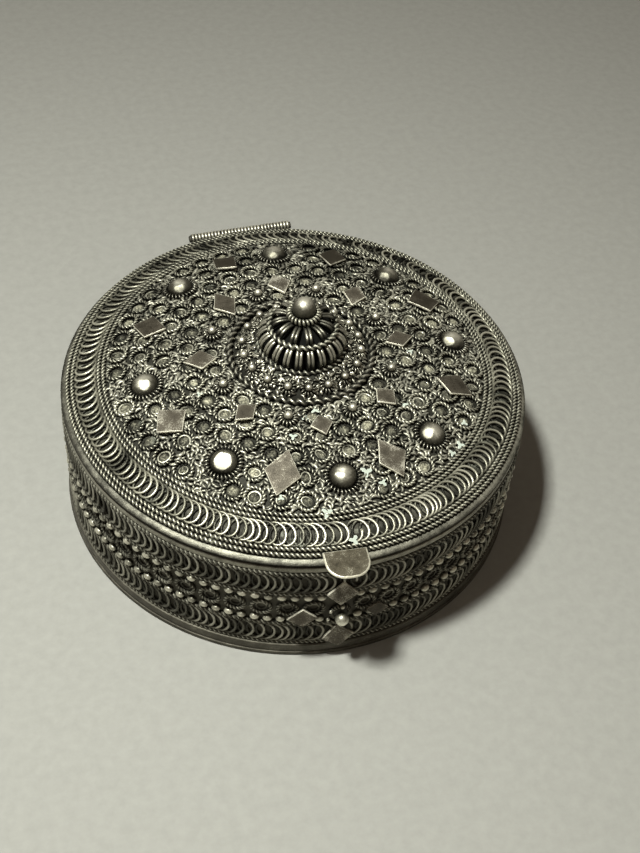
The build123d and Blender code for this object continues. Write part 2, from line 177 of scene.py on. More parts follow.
wall_radius = span("body_wall")[1][1]
wall_inside = wall_radius - sheet_thickness
lid_radius = span("lid_rim")[1][1]
lid_seat = span("lid_outer_ropes")[1][1]
lid_top = span("lid_rim")[1][2]
lid_rise = span("lid_sheet")[1][2] - lid_top
crown_edge = lid_seat - crown_inset
slope_centre = lid_top - (lid_seat**2 - crown_edge**2 - slope_rise**2) / (2 * slope_rise)
slope_radius = hypot(lid_seat, lid_top - slope_centre)
crown_rise = lid_rise - slope_rise
crown_radius = (crown_edge**2 + crown_rise**2) / (2 * crown_rise)
crown_centre = lid_top + lid_rise - crown_radius
coil_outer = span("lid_coil_band")[1][1]
coil_inner = span("lid_inner_ropes")[1][1]
field_outer = coil_inner - 2 * fine_rope
finial_axis = middle_of("finial_ball")[:2]
front = atan2(*middle_of("thumb_tab")[1::-1])
once_round = front + 2 * pi


# ---- grounds: points over the lid and over the wall ----
def angles(count):
    """Even steps of one turn."""
    return 2 * pi * np.arange(count) / count


def round_z(out, angle, level):
    """Points at a distance from the Z axis."""
    return np.stack(np.broadcast_arrays(out * np.cos(angle), out * np.sin(angle), level), -1)


def on_lid(radius, azimuth, height=0.0):
    """Points over the domed sheet."""
    crown = np.asarray(radius) < crown_edge
    curve, centre = np.where(crown, crown_radius, slope_radius), np.where(crown, crown_centre, slope_centre)
    tilt = np.arcsin(np.asarray(radius) / curve)
    return round_z((curve + height) * np.sin(tilt), azimuth, centre + (curve + height) * np.cos(tilt))


def on_wall(level, azimuth, height=0.0):
    """Points over the upright wall."""
    return round_z(wall_radius + np.asarray(height), azimuth, level)


def lid_section(radii, height):
    """Points (radius, level) along the domed sheet."""
    return [tuple(on_lid(r, 0.0, height)[::2]) for r in radii]


def seat(ground, across, azimuth, height=0.0, spin=0.0):
    """Frame on a ground: +Z leaves it, +X runs across (down the lid, up the wall), turned by `spin`."""
    origin = ground(across, azimuth, height)
    z = ground(across, azimuth, height + 1) - origin
    x = ground(across + 0.01, azimuth, height) - origin
    x = x - z * (x @ z)
    x = x / norm(x)
    y = np.cross(z, x)
    place = np.eye(4)
    place[:3, 0] = cos(spin) * x + sin(spin) * y
    place[:3, 1] = cos(spin) * y - sin(spin) * x
    place[:3, 2] = z
    place[:3, 3] = origin
    return place


def lid_seat_at(x, y, height=0.0, spin=0.0):
    """Frame on the lid over a point of the plan."""
    return seat(on_lid, hypot(x, y), atan2(y, x), height, spin)


def upright(axis=(0.0, 0.0), angle=0.0, radius=0.0, level=0.0, lean=0.0):
    """Frame beside an upright axis: +X points away from it and `lean` tips +Z outwards."""
    c, s = cos(angle), sin(angle)
    return np.array([[c * cos(lean), -s, c * sin(lean), axis[0] + radius * c],
                     [s * cos(lean), c, s * sin(lean), axis[1] + radius * s],
                     [-sin(lean), 0, cos(lean), level], [0, 0, 0, 1]])


def stretched(x, y, z):
    return np.diag([x, y, z, 1])


# ---- shapes ----
def skin(rings, wear_and_shading, loop=False):
    """Skin over rings of points (count, around, 3); `loop` joins the last ring to the first."""
    count, around = rings.shape[:2]
    index = np.arange(count * around).reshape(count, around)
    low, high = (index, np.roll(index, -1, 0)) if loop else (index[:-1], index[1:])
    quads = np.stack([low, np.roll(low, -1, 1), np.roll(high, -1, 1), high], -1).reshape(-1, 4)
    points = rings.reshape(-1, 3)
    wear_and_shading = np.broadcast_to(wear_and_shading, (count, around)).reshape(-1)
    if loop:
        return points, quads, np.zeros((0, 3), int), wear_and_shading
    ends = np.stack([rings[0].mean(0), rings[-1].mean(0)])
    first, last = len(points), len(points) + 1
    fans = [np.stack([np.full(around, first), np.roll(index[0], -1), index[0]], -1),
            np.stack([np.full(around, last), index[-1], np.roll(index[-1], -1)], -1)]
    end_wear_and_shading = [wear_and_shading[:around].mean(), wear_and_shading[-around:].mean()]
    return np.vstack([points, ends]), quads, np.vstack(fans), np.append(wear_and_shading, end_wear_and_shading)


def joined(shapes):
    """Several shapes as one."""
    points, quads, triangles, wear_and_shading = zip(*shapes)
    start = np.cumsum([0] + [len(p) for p in points[:-1]])
    return (np.vstack(points), np.vstack([q + i for q, i in zip(quads, start)]),
            np.vstack([t + i for t, i in zip(triangles, start)]), np.concatenate(wear_and_shading))


def placed(shape, places, uneven=0.0):
    """A copy of a shape at each of several 4 x 4 places, some more worn than others."""
    points, quads, triangles, wear_and_shading = shape
    return joined([(points @ p[:3, :3].T + p[:3, 3], quads, triangles, wear_and_shading + chance.uniform(-uneven, uneven))
                   for p in places])


def circle(radius, around=8):
    return round_z(radius, angles(around), 0.0)[:, :2]


def tube(path, up, outline, wear_and_shading, loop=False):
    """Carries an outline (x to the side, y up) along a path; `up` leaves the ground that the path lies on."""
    along = np.roll(path, -1, 0) - np.roll(path, 1, 0) if loop else np.gradient(path, axis=0)
    along /= norm(along, axis=1, keepdims=True)
    side = np.cross(np.broadcast_to(up, path.shape), along)
    side /= norm(side, axis=1, keepdims=True)
    rise = np.cross(along, side)
    outline = np.broadcast_to(outline, (len(path),) + outline.shape[-2:])
    rings = path[:, None] + outline[..., :1] * side[:, None] + outline[..., 1:] * rise[:, None]
    return skin(rings, wear_and_shading, loop)


def strands(stations, turns, thickness, around=10):
    """Outlines and wear of two strands twisted round each other."""
    angle = angles(around)
    twist = 2 * pi * turns * np.arange(stations)[:, None] / stations
    lobe = 0.72 + 0.28 * np.cos(2 * (angle - twist))
    out = thickness / 2 * lobe
    return round_z(out, angle, 0.0)[..., :2], np.clip(lobe**4 * (0.4 + 0.75 * np.sin(angle)), 0, 1)


def rope(path_of, length, thickness, pitch, loop=True):
    """Two-strand rope; `path_of` gives path and up for shares of the way from 0 to 1."""
    turns = max(1, round(length / pitch))
    stations = turns * 10
    path, up = path_of(np.arange(stations) / (stations if loop else stations - 1))
    return tube(path, up, *strands(stations, turns, thickness), loop)


def wobble(t, size):
    """Smooth unevenness along something handmade."""
    waves = 5
    rate = chance.uniform(0.02, 0.35, waves)
    phase = chance.uniform(0, 2 * pi, waves)
    return size * np.sin(np.asarray(t)[..., None] * rate + phase).mean(-1)


def fine_rope_round(ground, across, start=0.0, end=2 * pi):
    """Fine rope that runs round on a ground, from one azimuth to another or the whole way."""
    height = fine_rope / 2
    length = (end - start) * hypot(*ground(across, 0.0, height)[:2])
    knots = np.linspace(0, 1, 400)
    drift = wobble(np.linspace(0, length / 3, len(knots)), 0.12)

    def path_of(share):
        azimuth = start + (end - start) * share
        top_shade = np.sin(pi * share)**0.3
        aside = across + top_shade * np.interp(share, knots, drift)
        path = ground(aside, azimuth, height)
        return path, ground(aside, azimuth, height + 1) - path

    return rope(path_of, length, fine_rope, fine_pitch, end - start > 6.28)


def twisted_ring():
    """Ring of two twisted wires that lies on the ground."""
    stations = ring_bumps * 6
    path = round_z(ring_outer - ring_wire / 2, -angles(stations), ring_wire / 2)
    return tube(path, (0, 0, 1), *strands(stations, ring_bumps / 2, ring_wire, 8), True)


def plain_ring(thickness):
    """Ring of plain wire that lies inside a twisted one, brighter on its top, with a painted highlight on one
    side.
    """
    angle = -angles(24)
    outline = circle(thickness / 2, 6)
    # painted highlight: a bright crescent on one side of each ring, turned at random with the ring
    wear_and_shading = (0.5 + 0.4 * np.cos(angle))[:, None] * np.clip(0.6 + 0.5 * outline[:, 1] / outline.max(), 0, 1)
    return tube(round_z(inner_ring_radius, angle, thickness / 2), (0, 0, 1), outline, wear_and_shading, True)


def coil_ring(radius, out, height, wire, turns):
    """Little coil of wire bent into a ring on the ground: a ribbed collar."""
    t = np.arange(turns * 10) * 2 * pi / 10
    angle = -t / turns
    path = round_z(radius + out * np.cos(t), angle, height * (1 + np.sin(t)) + wire / 2)
    wear_and_shading = np.clip(0.2 + 0.6 * np.sin(t) + 0.3 * np.cos(t), 0, 1)[:, None] * np.linspace(1, 0.5, 6)
    return tube(path, round_z(np.cos(t), angle, np.sin(t)), circle(wire / 2, 6), wear_and_shading, True)


def turned(profile, wear_and_shading, around=round_steps, closed=False):
    """Shape of revolution about Z through (radius, height) points, anticlockwise in its section."""
    profile = np.array(profile, float)
    return skin(round_z(profile[:, :1], angles(around), profile[:, 1:]), wear_and_shading, closed)


def ball(radius, around=16, steps=9):
    """Ball that rests on the ground."""
    return turned([(radius * cos(t), radius + radius * sin(t)) for t in np.linspace(-0.46, 0.46, steps) * pi],
                  np.linspace(0.1, 1, steps)[:, None], around)


def dome(radius, height, steps=20):
    """Rounded knob, from its foot to nearly its top."""
    profile = [(radius * cos(t), height * sin(t)**0.75) for t in np.linspace(0, 0.49 * pi, steps)]
    return turned(profile, np.linspace(0.0, 1, steps)[:, None]**1.3, 40)


def bit(length, bow):
    """Bit of bowed wire with soft ends on the ground, along X."""
    share = np.linspace(0, 1, 8)
    bend = bow * np.sin(pi * share)
    path = np.stack([length * (share - 0.5), bend - bend.mean(), np.full(8, bit_thickness / 2)], -1)
    ends = np.sin(pi * np.clip(share, 0.05, 0.95))[:, None]**0.5
    wear_and_shading = (0.35 + 0.65 * np.sin(angles(7))) * ends
    return tube(path, (0, 0, 1), circle(bit_thickness / 2, 7) * ends[..., None], wear_and_shading)


def rounded(inner, outer, bottom, top, corner):
    """Closed section of a ring with rounded corners, anticlockwise, of four points to a corner."""
    section = []
    for x, z, start in ((outer - corner, bottom + corner, -90), (outer - corner, top - corner, 0),
                        (inner + corner, top - corner, 90), (inner + corner, bottom + corner, 180)):
        section += [(x + corner * cos(radians(start + a)), z + corner * sin(radians(start + a)))
                    for a in np.linspace(0, 90, 4)]
    return section


def plate(outline, thickness, edge, bend=0.0, twist=0.0):
    """Plate on the ground with soft edges, from a star-shaped outline, bowed and twisted a little."""
    reach = np.abs(outline).max()
    inset, flat = 1 - edge / reach, 1 - 1.8 * edge / reach
    levels = [(0.02, 0), (flat, 0), (inset, 0), (1, edge), (1, thickness - edge), (inset, thickness),
              (flat, thickness), (0.5, thickness), (0.02, thickness)]
    rings = np.array([[(x * s, y * s, z) for x, y in outline] for s, z in levels])
    rings[..., 2] += bend * (rings[..., 0] / reach)**2 + twist * rings[..., 0] * rings[..., 1] / reach**2
    return skin(rings, np.array([0.1, 0.1, 0.3, 0.9, 1.1, 1.0, 0.45, 0.36, 0.36])[:, None])


def along_sides(corners, steps=7):
    """Outline through corners, with points along each side."""
    share = np.linspace(0, 1, steps, endpoint=False)[:, None]
    return np.vstack([a + (b - a) * share for a, b in zip(corners, np.roll(corners, -1, 0))])


def rhombus(length, width, uneven):
    """Rhombus cut by hand, its length along X."""
    corners = np.array([(length / 2, 0), (0, width / 2), (-length / 2, 0), (0, -width / 2)])
    return along_sides(corners + chance.uniform(-uneven, uneven, corners.shape))


def coil_round(ground, middle, half_width, pitches, start, end):
    """Flattened coil of wire: loops that overlap like scales, from one azimuth to another."""
    radius = hypot(*ground(middle, 0.0)[:2])
    way = np.linspace(start, end, 720)
    pitch = np.interp((np.degrees(way[1:]) + 360) % 360, *pitches)
    passed = np.cumsum(radius * (end - start) / (len(way) - 1) / pitch)
    passed = np.concatenate([[0], passed])
    t = np.arange(round(passed[-1]) * coil_steps + coil_steps // 2) * 2 * pi / coil_steps
    reach = coil_reach + wobble(t / 1.5, 0.7)
    tall = (half_width - coil_wire / 4) * (1 + wobble(t / 3, 0.05))
    aside = reach * np.cos(t) + wobble(t / 2, 1.3)
    azimuth = np.interp(t / t[-1] * passed[-1], passed, way) + aside / radius
    across = middle + tall * np.sin(t) + wobble(t / 5, 0.12)
    height = coil_wire * (0.95 + 0.45 * np.cos(t))
    path = ground(across, azimuth, height)
    up = ground(across, azimuth, height + 1) - path
    front_arc = np.clip(0.5 + 0.5 * np.cos(t), 0, 1)[:, None]
    worn = np.clip(0.8 + wobble(t / 1.2, 0.9), 0.25, 1.1)[:, None]
    wear_and_shading = (0.1 + 0.9 * front_arc) * worn * (0.5 + 0.5 * np.sin(angles(8)))
    return tube(path, up, circle(coil_wire / 2), wear_and_shading)


# ---- materials ----
class Recipe:
    """A new material, put together from nodes; a colour is (red, green, blue)."""

    def __init__(self, name):
        self.material = bpy.data.materials.new(name)
        self.material.use_nodes = True
        self.nodes = self.material.node_tree.nodes
        self.link = self.material.node_tree.links.new
        self.shader = self.nodes["Principled BSDF"].inputs
        self.place = self.add("TexCoord").outputs["Object"]

    def feed(self, socket, value):
        """Links an input to a socket or sets it to a plain value."""
        if isinstance(value, bpy.types.NodeSocket):
            self.link(value, socket)
        else:
            socket.default_value = value

    def fill(self, inputs, **values):
        """Feeds inputs by name; an underscore stands for a space."""
        for name, value in values.items():
            self.feed(inputs[name.replace("_", " ")], value)

    def add(self, kind, **values):
        """A new node with its inputs filled."""
        made = self.nodes.new("ShaderNode" + kind)
        self.fill(made.inputs, **values)
        return made

    def noise(self, scale, detail=3.0, roughness=0.6):
        """Noise over the part: `scale` is how many grains to the millimetre."""
        return self.add("TexNoise", Scale=scale / MM, Detail=detail, Roughness=roughness,
                        Vector=self.place).outputs["Fac"]

    def ramp(self, value, *stops):
        """Colour ramp through (position, colour) stops."""
        made = self.add("ValToRGB", Fac=value)
        for _ in range(len(stops) - 2):
            made.color_ramp.elements.new(0.5)
        for element, (position, colour) in zip(made.color_ramp.elements, stops):
            element.position, element.color = position, (*colour, 1.0)
        return made.outputs["Color"]

    def calculate(self, operation, *values, clamp=False):
        """One step of arithmetic on sockets and plain numbers."""
        made = self.add("Math")
        made.operation, made.use_clamp = operation, clamp
        for socket, value in zip(made.inputs, values):
            self.feed(socket, value)
        return made.outputs["Value"]

    def cover(self, share, shade, colour):
        """A plain colour over a share of a shaded socket."""
        made = self.add("Mix", Factor=share)
        made.data_type = "RGBA"
        below, above = [s for s in made.inputs if s.name in ("A", "B") and s.type == "RGBA"]
        self.link(shade, below)
        above.default_value = (*colour, 1.0)
        return next(s for s in made.outputs if s.type == "RGBA")


def silver(name, slot, hollow, middle, top, metallic, rough, grain=2.0, bump=0.15, dust=0.0, mottle=0.7,
           speckles=0.5, behind=0.22):
    """Old silver and its slot: dark in its hollows, rubbed on its tops, with pale dust in patches.

    `rough` is of hollows and tops, and `grain` is specks to the millimetre.  `mottle` and `speckles` say how
    far broad and fine noise shift the rubbing value, and `behind` how much darker the finish gets towards the
    hinge, at +Y; below 0 it gets lighter there.
    """
    recipe = Recipe(name)
    calculate = recipe.calculate
    # per-point value of rubbing and patina, which on a few pieces also carries painted shade and painted
    # highlights
    attribute = recipe.add("Attribute")
    attribute.attribute_name = "wear_and_shading"
    worn = attribute.outputs["Fac"]
    broad = calculate("MULTIPLY_ADD", recipe.noise(grain / 12), mottle, -mottle / 2)
    fine = recipe.noise(grain, 4)
    speckle = calculate("MULTIPLY_ADD", fine, speckles, -speckles / 2)
    backwards = recipe.add("SeparateXYZ", Vector=recipe.place).outputs["Y"]
    # 0 where y is below 10, and 1 above 60
    far = calculate("MULTIPLY_ADD", backwards, 0.02 / MM, -0.2, clamp=True)
    value = calculate("MULTIPLY_ADD", far, -behind, worn)
    value = calculate("ADD", value, broad)
    value = calculate("ADD", value, speckle, clamp=True)
    shade = recipe.ramp(value, (0.08, hollow), (0.5, middle), (0.95, top))
    recipe.fill(recipe.shader, Metallic=metallic, Specular_IOR_Level=0.15)
    if dust:
        patches = calculate("MULTIPLY_ADD", recipe.noise(0.2, 5, 0.7), 9.0, -5.3)
        low = calculate("SUBTRACT", 1.0, worn, clamp=True)
        share = calculate("MULTIPLY", patches, low, clamp=True)
        share = calculate("MULTIPLY", share, dust)
        shade = recipe.cover(share, shade, dust_colour)
        recipe.fill(recipe.shader, Metallic=calculate("MULTIPLY_ADD", share, -metallic, metallic, clamp=True))
    smooth = recipe.add("MapRange", Value=value, To_Min=rough[0], To_Max=rough[1])
    relief = recipe.add("Bump", Strength=bump, Distance=0.1 * MM, Height=fine)
    recipe.fill(recipe.shader, Base_Color=shade, Roughness=smooth.outputs["Result"],
                Normal=relief.outputs["Normal"])
    return recipe.material, slot


dark = (0.018, 0.0175, 0.014)
wire_silver = silver("wire silver", "wire_silver", dark, (0.26, 0.25, 0.195), (0.61, 0.59, 0.48), 0.65,
    (0.55, 0.36), dust=0.5)
wall_silver = silver("wall wire silver", "wire_silver", (0.055, 0.052, 0.041), (0.125, 0.119, 0.094),
    (0.37, 0.355, 0.29), 0.5, (0.62, 0.5))
finial_silver = silver("finial wire silver", "wire_silver", dark, (0.105, 0.10, 0.08), (0.52, 0.50, 0.41),
    0.8, (0.5, 0.32))
bit_silver = silver("bits of wire", "wire_silver", dark, (0.13, 0.125, 0.10), (0.42, 0.405, 0.33), 0.6,
    (0.6, 0.42), dust=0.5)
bead_silver = silver("wall beads", "wire_silver", (0.03, 0.0285, 0.0225), (0.13, 0.124, 0.098),
    (0.62, 0.595, 0.485), 0.7, (0.52, 0.38))
crust = silver("crust in the rings", "wire_silver", (0.012, 0.0115, 0.009), (0.13, 0.124, 0.093),
    (0.50, 0.475, 0.35), 0.3, (0.7, 0.5), grain=3.5, bump=1.0, dust=0.5, speckles=0.9)
deposit = silver("pale deposit", "wire_silver", (0.38, 0.42, 0.36), (0.52, 0.57, 0.50), (0.66, 0.70, 0.62),
    0.0, (0.8, 0.7), grain=3.5, bump=0.6)
ground_silver = silver("tarnished ground", "sheet_silver", (0.014, 0.0136, 0.0105), (0.05, 0.048, 0.038),
    (0.13, 0.125, 0.098), 0.5, (0.7, 0.5), dust=0.9)
bed_silver = silver("tarnished sheet under the coil", "sheet_silver", (0.016, 0.0155, 0.012),
    (0.065, 0.062, 0.049), (0.20, 0.19, 0.15), 0.4, (0.7, 0.5), grain=3.0, bump=0.6, dust=0.9, mottle=1.2,
    behind=-0.6)
wall_ground = silver("tarnished wall", "sheet_silver", (0.08, 0.075, 0.059), (0.12, 0.113, 0.089),
    (0.17, 0.16, 0.126), 0.2, (0.8, 0.65))
inside_silver = silver("dull inside", "sheet_silver", (0.07, 0.066, 0.053), (0.20, 0.19, 0.155),
    (0.36, 0.345, 0.29), 0.6, (0.6, 0.45), grain=1.5, bump=0.2, behind=0.0)
rim_silver = silver("rubbed rim", "sheet_silver", (0.008, 0.0077, 0.006), (0.085, 0.081, 0.065),
    (0.36, 0.345, 0.28), 0.6, (0.6, 0.45), grain=4.0, bump=0.8, mottle=1.0, speckles=0.9)
base_silver = silver("dull base", "sheet_silver", (0.03, 0.027, 0.021), (0.105, 0.097, 0.077),
    (0.32, 0.295, 0.235), 0.6, (0.6, 0.45), grain=3.0, bump=0.3)
# near-black finish of the finial core: dark oxide, deepened into painted shade that shows between the loops
oxide_and_shade = silver("oxide_and_shade", "sheet_silver", (0.005, 0.005, 0.004), (0.009, 0.0085, 0.007), (0.02, 0.019, 0.015),
    0.3, (0.8, 0.6))
dome_silver = silver("polished domes", "ornament_silver", (0.02, 0.0185, 0.014), (0.17, 0.16, 0.125),
    (0.85, 0.82, 0.69), 0.85, (0.52, 0.4), bump=0.3, mottle=0.9, behind=0.0)
plate_silver = silver("lozenge silver", "ornament_silver", (0.034, 0.029, 0.021), (0.108, 0.094, 0.072),
    (0.85, 0.81, 0.67), 0.4, (0.55, 0.42), grain=4.0, bump=0.5, mottle=0.8, speckles=0.9)
hinge_silver = silver("hinge silver", "hinge_silver", (0.02, 0.019, 0.015), (0.24, 0.23, 0.185),
    (0.80, 0.77, 0.64), 0.75, (0.5, 0.35), behind=0.0)
tab_silver = silver("tab silver", "tab_silver", (0.045, 0.038, 0.026), (0.14, 0.123, 0.088),
    (0.95, 0.91, 0.74), 0.6, (0.5, 0.35), grain=5.0, bump=0.6, mottle=0.9, speckles=1.1)


# ---- showing ----
def added(name, data):
    """A new object in the scene."""
    made = bpy.data.objects.new(name, data)
    bpy.context.scene.collection.objects.link(made)
    return made


def show(name, shape, body, metal, *replaced):
    """Makes a shape into a piece that rides on a body and stands for CAD nodes."""
    points, quads, triangles, wear_and_shading = shape
    material, slot = metal
    corners = np.concatenate([quads.ravel(), triangles.ravel()])
    starts = np.concatenate([np.arange(len(quads)) * 4, quads.size + np.arange(len(triangles)) * 3])
    mesh = bpy.data.meshes.new(name)
    mesh.vertices.add(len(points))
    mesh.vertices.foreach_set("co", (points * MM).astype(np.float32).ravel())
    mesh.loops.add(len(corners))
    mesh.loops.foreach_set("vertex_index", corners.astype(np.int32))
    mesh.polygons.add(len(starts))
    mesh.polygons.foreach_set("loop_start", starts.astype(np.int32))
    mesh.polygons.foreach_set("use_smooth", np.ones(len(starts), bool))
    mesh.attributes.new("wear_and_shading", "FLOAT", "POINT").data.foreach_set("value", wear_and_shading.astype(np.float32))
    mesh.materials.append(material)
    mesh.update(calc_edges=True)
    piece = added(name, mesh)
    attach(piece, body)
    if replaced:
        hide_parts(*replaced)


def paint(node, metal):
    """Gives a CAD node that stays in view its material."""
    mesh = frame["nodes"][node].data
    mesh.materials.clear()
    mesh.materials.append(metal[0])


# ---- body ----
def wall_rim(node, name, corner, wear_and_shading, metal, drawn_back=0.0):
    """Plain rim of the wall, as large as its CAD node or drawn back from the lid."""
    low, high = span(node)
    section = rounded(wall_radius - rim_root, high[1], low[2], high[2] - drawn_back, corner)
    show(name, turned(section, wear_and_shading, closed=True), "box", metal, node)


def body_sheet():
    """Wall, its bright lining, base and plain rims."""
    low, high = span("body_wall")
    section = rounded(wall_inside, wall_radius, low[2], high[2], 0.1)
    show("wall_sheet", turned(section, 0.3, closed=True), "box", wall_ground, "body_wall")
    base_high = span("base_plate")[1]
    section = rounded(wall_inside - lining, wall_inside - 0.01, base_high[2], high[2] - 0.15, 0.04)
    show("wall_lining", turned(section, 0.5, closed=True), "box", inside_silver)
    outer_corners = rounded(pole, base_high[1] - inside_flats, 0, base_high[2], 0.3)[:8]
    section = [(pole, 0), *outer_corners, (pole, base_high[2])]
    show("base_sheet", turned(section, 0.4), "box", base_silver, "base_plate")
    wall_rim("bottom_rim", "bottom_band", 0.35, 0.45, base_silver)
    wall_rim("top_rim", "top_band", 0.2, 0.85, rim_silver, seam)


def wall_coil(node, name):
    """Band of flattened coil between two fine ropes."""
    bottom, top = [corner[2] for corner in span(node)]
    half = (top - bottom) / 2 - fine_rope
    coil = coil_round(on_wall, (bottom + top) / 2, half, wall_coil_pitch, front + 0.02, once_round - 0.02)
    ropes = [fine_rope_round(on_wall, level) for level in (bottom + fine_rope / 2, top - fine_rope / 2)]
    show(name, joined([coil, *ropes]), "box", wall_silver, node)


def bead_wire(node, name):
    """Row of beads, each with a thin waist against the next."""
    low, high = span(node)
    places = [seat(on_wall, (low[2] + high[2]) / 2, a, -bead_sunk) @ stretched(1, bead_stretch, 1)
              for a in directions(node)]
    show(name, placed(ball((high[2] - low[2]) / 2, 12, 8), places, 0.2), "box", bead_silver, node)


def wall_rings():
    """Row of twisted rings, each with a plain one inside."""
    middle = middle_of("wall_ring_row")[2]
    places = [seat(on_wall, middle, a) for a in directions("wall_ring_row")]
    rings = joined([twisted_ring(), plain_ring(wall_inner_ring_wire)])
    show("wall_rings", placed(rings, places, 0.1), "box", wall_silver, "wall_ring_row")


def front_ornament():
    """Stud in its collar, with three loose grains and four lozenges round it."""
    level = middle_of("stud_collar")[2]
    collar = coil_ring(radius=2.1, out=0.6, height=0.55, wire=0.34, turns=20)
    foot = turned([(2.4, 0), (2.3, 0.5), (1.4, 1.35)], 0.2, 24)
    show("front_stud_collar", placed(joined([collar, foot]), [seat(on_wall, level, front)]), "box",
         wall_silver, "stud_collar")
    low, high = span("stud")
    stud = ball((high[2] - low[2]) / 2, 24, 14)
    show("front_stud", placed(stud, [seat(on_wall, level, front, 1.35)]), "box", dome_silver, "stud")
    grains = [seat(on_wall, level + up, front + aside / wall_radius, 0.9) for aside, up in front_grains]
    show("front_grains", placed(ball(0.5, 12, 8), grains), "box", dome_silver)
    plates = []
    leaning = upright(lean=radians(front_lean))
    middles = [(atan2(y, x), z) for x, y, z in islands("front_lozenges")]
    middles.sort(key=lambda middle: round(degrees(middle[0])) + 0.001 * middle[1])
    for (azimuth, level), (width, height, spin, rubbed) in zip(middles, front_plates):
        shape = plate(rhombus(height, width, 0.25), plate_thickness, edge=0.12, bend=-0.25)
        place = seat(on_wall, level, azimuth, front_plate_lift) @ leaning @ upright(angle=radians(spin))
        plates.append(placed((*shape[:3], 0.4 * shape[3] + rubbed), [place]))
    show("front_plates", joined(plates), "box", plate_silver, "front_lozenges")


# ---- hinge ----
def ribbed_barrel(start, end, radius, axis_y, axis_z):
    """Barrel wound with wire, along X."""
    ribs = round((end - start) / rib_pitch)
    x = np.linspace(start, end, ribs * 8 + 1)[:, None]
    swell = radius - rib_depth + rib_depth * np.abs(np.sin(pi * ribs * (x - start) / (end - start)))
    angle = angles(24)
    y, z = axis_y + swell * np.cos(angle), axis_z + swell * np.sin(angle)
    return skin(np.stack(np.broadcast_arrays(x, y, z), -1),
                (swell - radius + rib_depth) / rib_depth * (0.5 + 0.4 * np.sin(angle)))


def block(low, high):
    """Small brick with soft edges."""
    x, y, z = (np.array(high) - low) / 2
    corners = np.array([(x, -y), (x, y), (-x, y), (-x, -y)])
    points, *others = plate(along_sides(corners, 3), 2 * z, edge=0.15)
    return points + np.array([(low[0] + high[0]) / 2, (low[1] + high[1]) / 2, low[2]]), *others


def hinge():
    """Three ribbed knuckles, each on a bed of solder, and the pin."""
    axis_y, axis_z = np.array(frame["joints"][0]["pos_m"][1:]) / MM
    middle_low, middle_high = span("hinge_middle_knuckle")
    side_low, side_high = span("hinge_side_knuckles")
    radius = side_high[1] - axis_y
    barrel = ribbed_barrel(middle_low[0], middle_high[0], radius, axis_y, axis_z)
    bed = block((middle_low[0], lid_radius - 0.6, lid_top - 1.35),
                (middle_high[0], axis_y, middle_high[2] - 0.35))
    show("lid_knuckle", joined([barrel, bed]), "lid", hinge_silver, "hinge_middle_knuckle")
    shapes = []
    for start, end in ((side_low[0], middle_low[0] - knuckle_gap),
                       (middle_high[0] + knuckle_gap, side_high[0])):
        shapes.append(ribbed_barrel(start, end, radius, axis_y, axis_z))
        shapes.append(block((start, wall_radius + 0.2, axis_z - 1.1), (end, axis_y, span("body_wall")[1][2])))
    show("box_knuckles", joined(shapes), "box", hinge_silver, "hinge_side_knuckles")
    paint("hinge_pin", inside_silver)


# ---- lid: sheet, rim, coil and ropes ----
def lid_shell():
    """Domed sheet, its bright lining and its rim."""
    fold = 0.6
    radii = np.concatenate([np.linspace(lid_seat, crown_edge + fold, 16),
                            np.linspace(crown_edge - fold, lid_pole, 14)])
    section = lid_section(radii[::-1], -sheet_thickness) + lid_section(radii, 0.0)
    show("lid_dome", turned(section, 0.3), "lid", ground_silver, "lid_sheet")
    radii = np.linspace(lid_seat - 0.4, lid_pole, 24)
    section = lid_section(radii[::-1], -sheet_thickness - lining)
    section += lid_section(radii, -sheet_thickness - 0.01)
    show("lid_lining", turned(section, 0.5), "lid", inside_silver)
    low, high = span("lid_rim")
    inner, outer, bottom, top = lid_seat - 0.1, lid_radius - inside_flats, low[2] + seam, high[2]
    section = [(inner, bottom), (outer - 0.15, bottom), (outer, bottom + 0.12), (outer, top - 0.85),
               (outer - 0.1, top - 0.66), (outer - 0.7, top - 0.32), (outer - 1.25, top - 0.04), (inner, top)]
    # painted shade: the band is darker on its left side
    painted_shade_left = 0.17 * np.clip(-np.cos(angles(round_steps)), 0, 1)**4
    # the band's lower side stays dark: tarnish in the seam, deepened into painted shade
    wear_and_shading = np.array([0, 0, 0, 0.2, 0.5, 0.75, 0.75, 0.3])[:, None] - painted_shade_left
    show("lid_band", turned(section, wear_and_shading, closed=True), "lid", rim_silver, "lid_rim")


def lid_wires():
    """Coil on its bed between two pairs of fine ropes, the outermost of which leaves room for the tab."""
    outer = [fine_rope_round(on_lid, lid_seat - fine_rope * 0.5, front + rope_notch, once_round - rope_notch),
             fine_rope_round(on_lid, lid_seat - fine_rope * 1.5)]
    show("lid_edge_ropes", joined(outer), "lid", wire_silver, "lid_outer_ropes")
    inner = [fine_rope_round(on_lid, coil_inner - fine_rope * (i + 0.5)) for i in range(2)]
    show("lid_field_ropes", joined(inner), "lid", wire_silver, "lid_inner_ropes")
    coil = coil_round(on_lid, (coil_outer + coil_inner) / 2, (coil_outer - coil_inner) / 2, lid_coil_pitch,
                      front + 0.045, once_round - 0.005)
    show("lid_coil", coil, "lid", wire_silver, "lid_coil_band")
    radii = (coil_inner - 0.3, coil_outer + 0.3)
    bed = lid_section(radii, -0.3) + lid_section(radii[::-1], 0.12)
    show("lid_coil_bed", turned(bed, 0.4, closed=True), "lid", bed_silver)


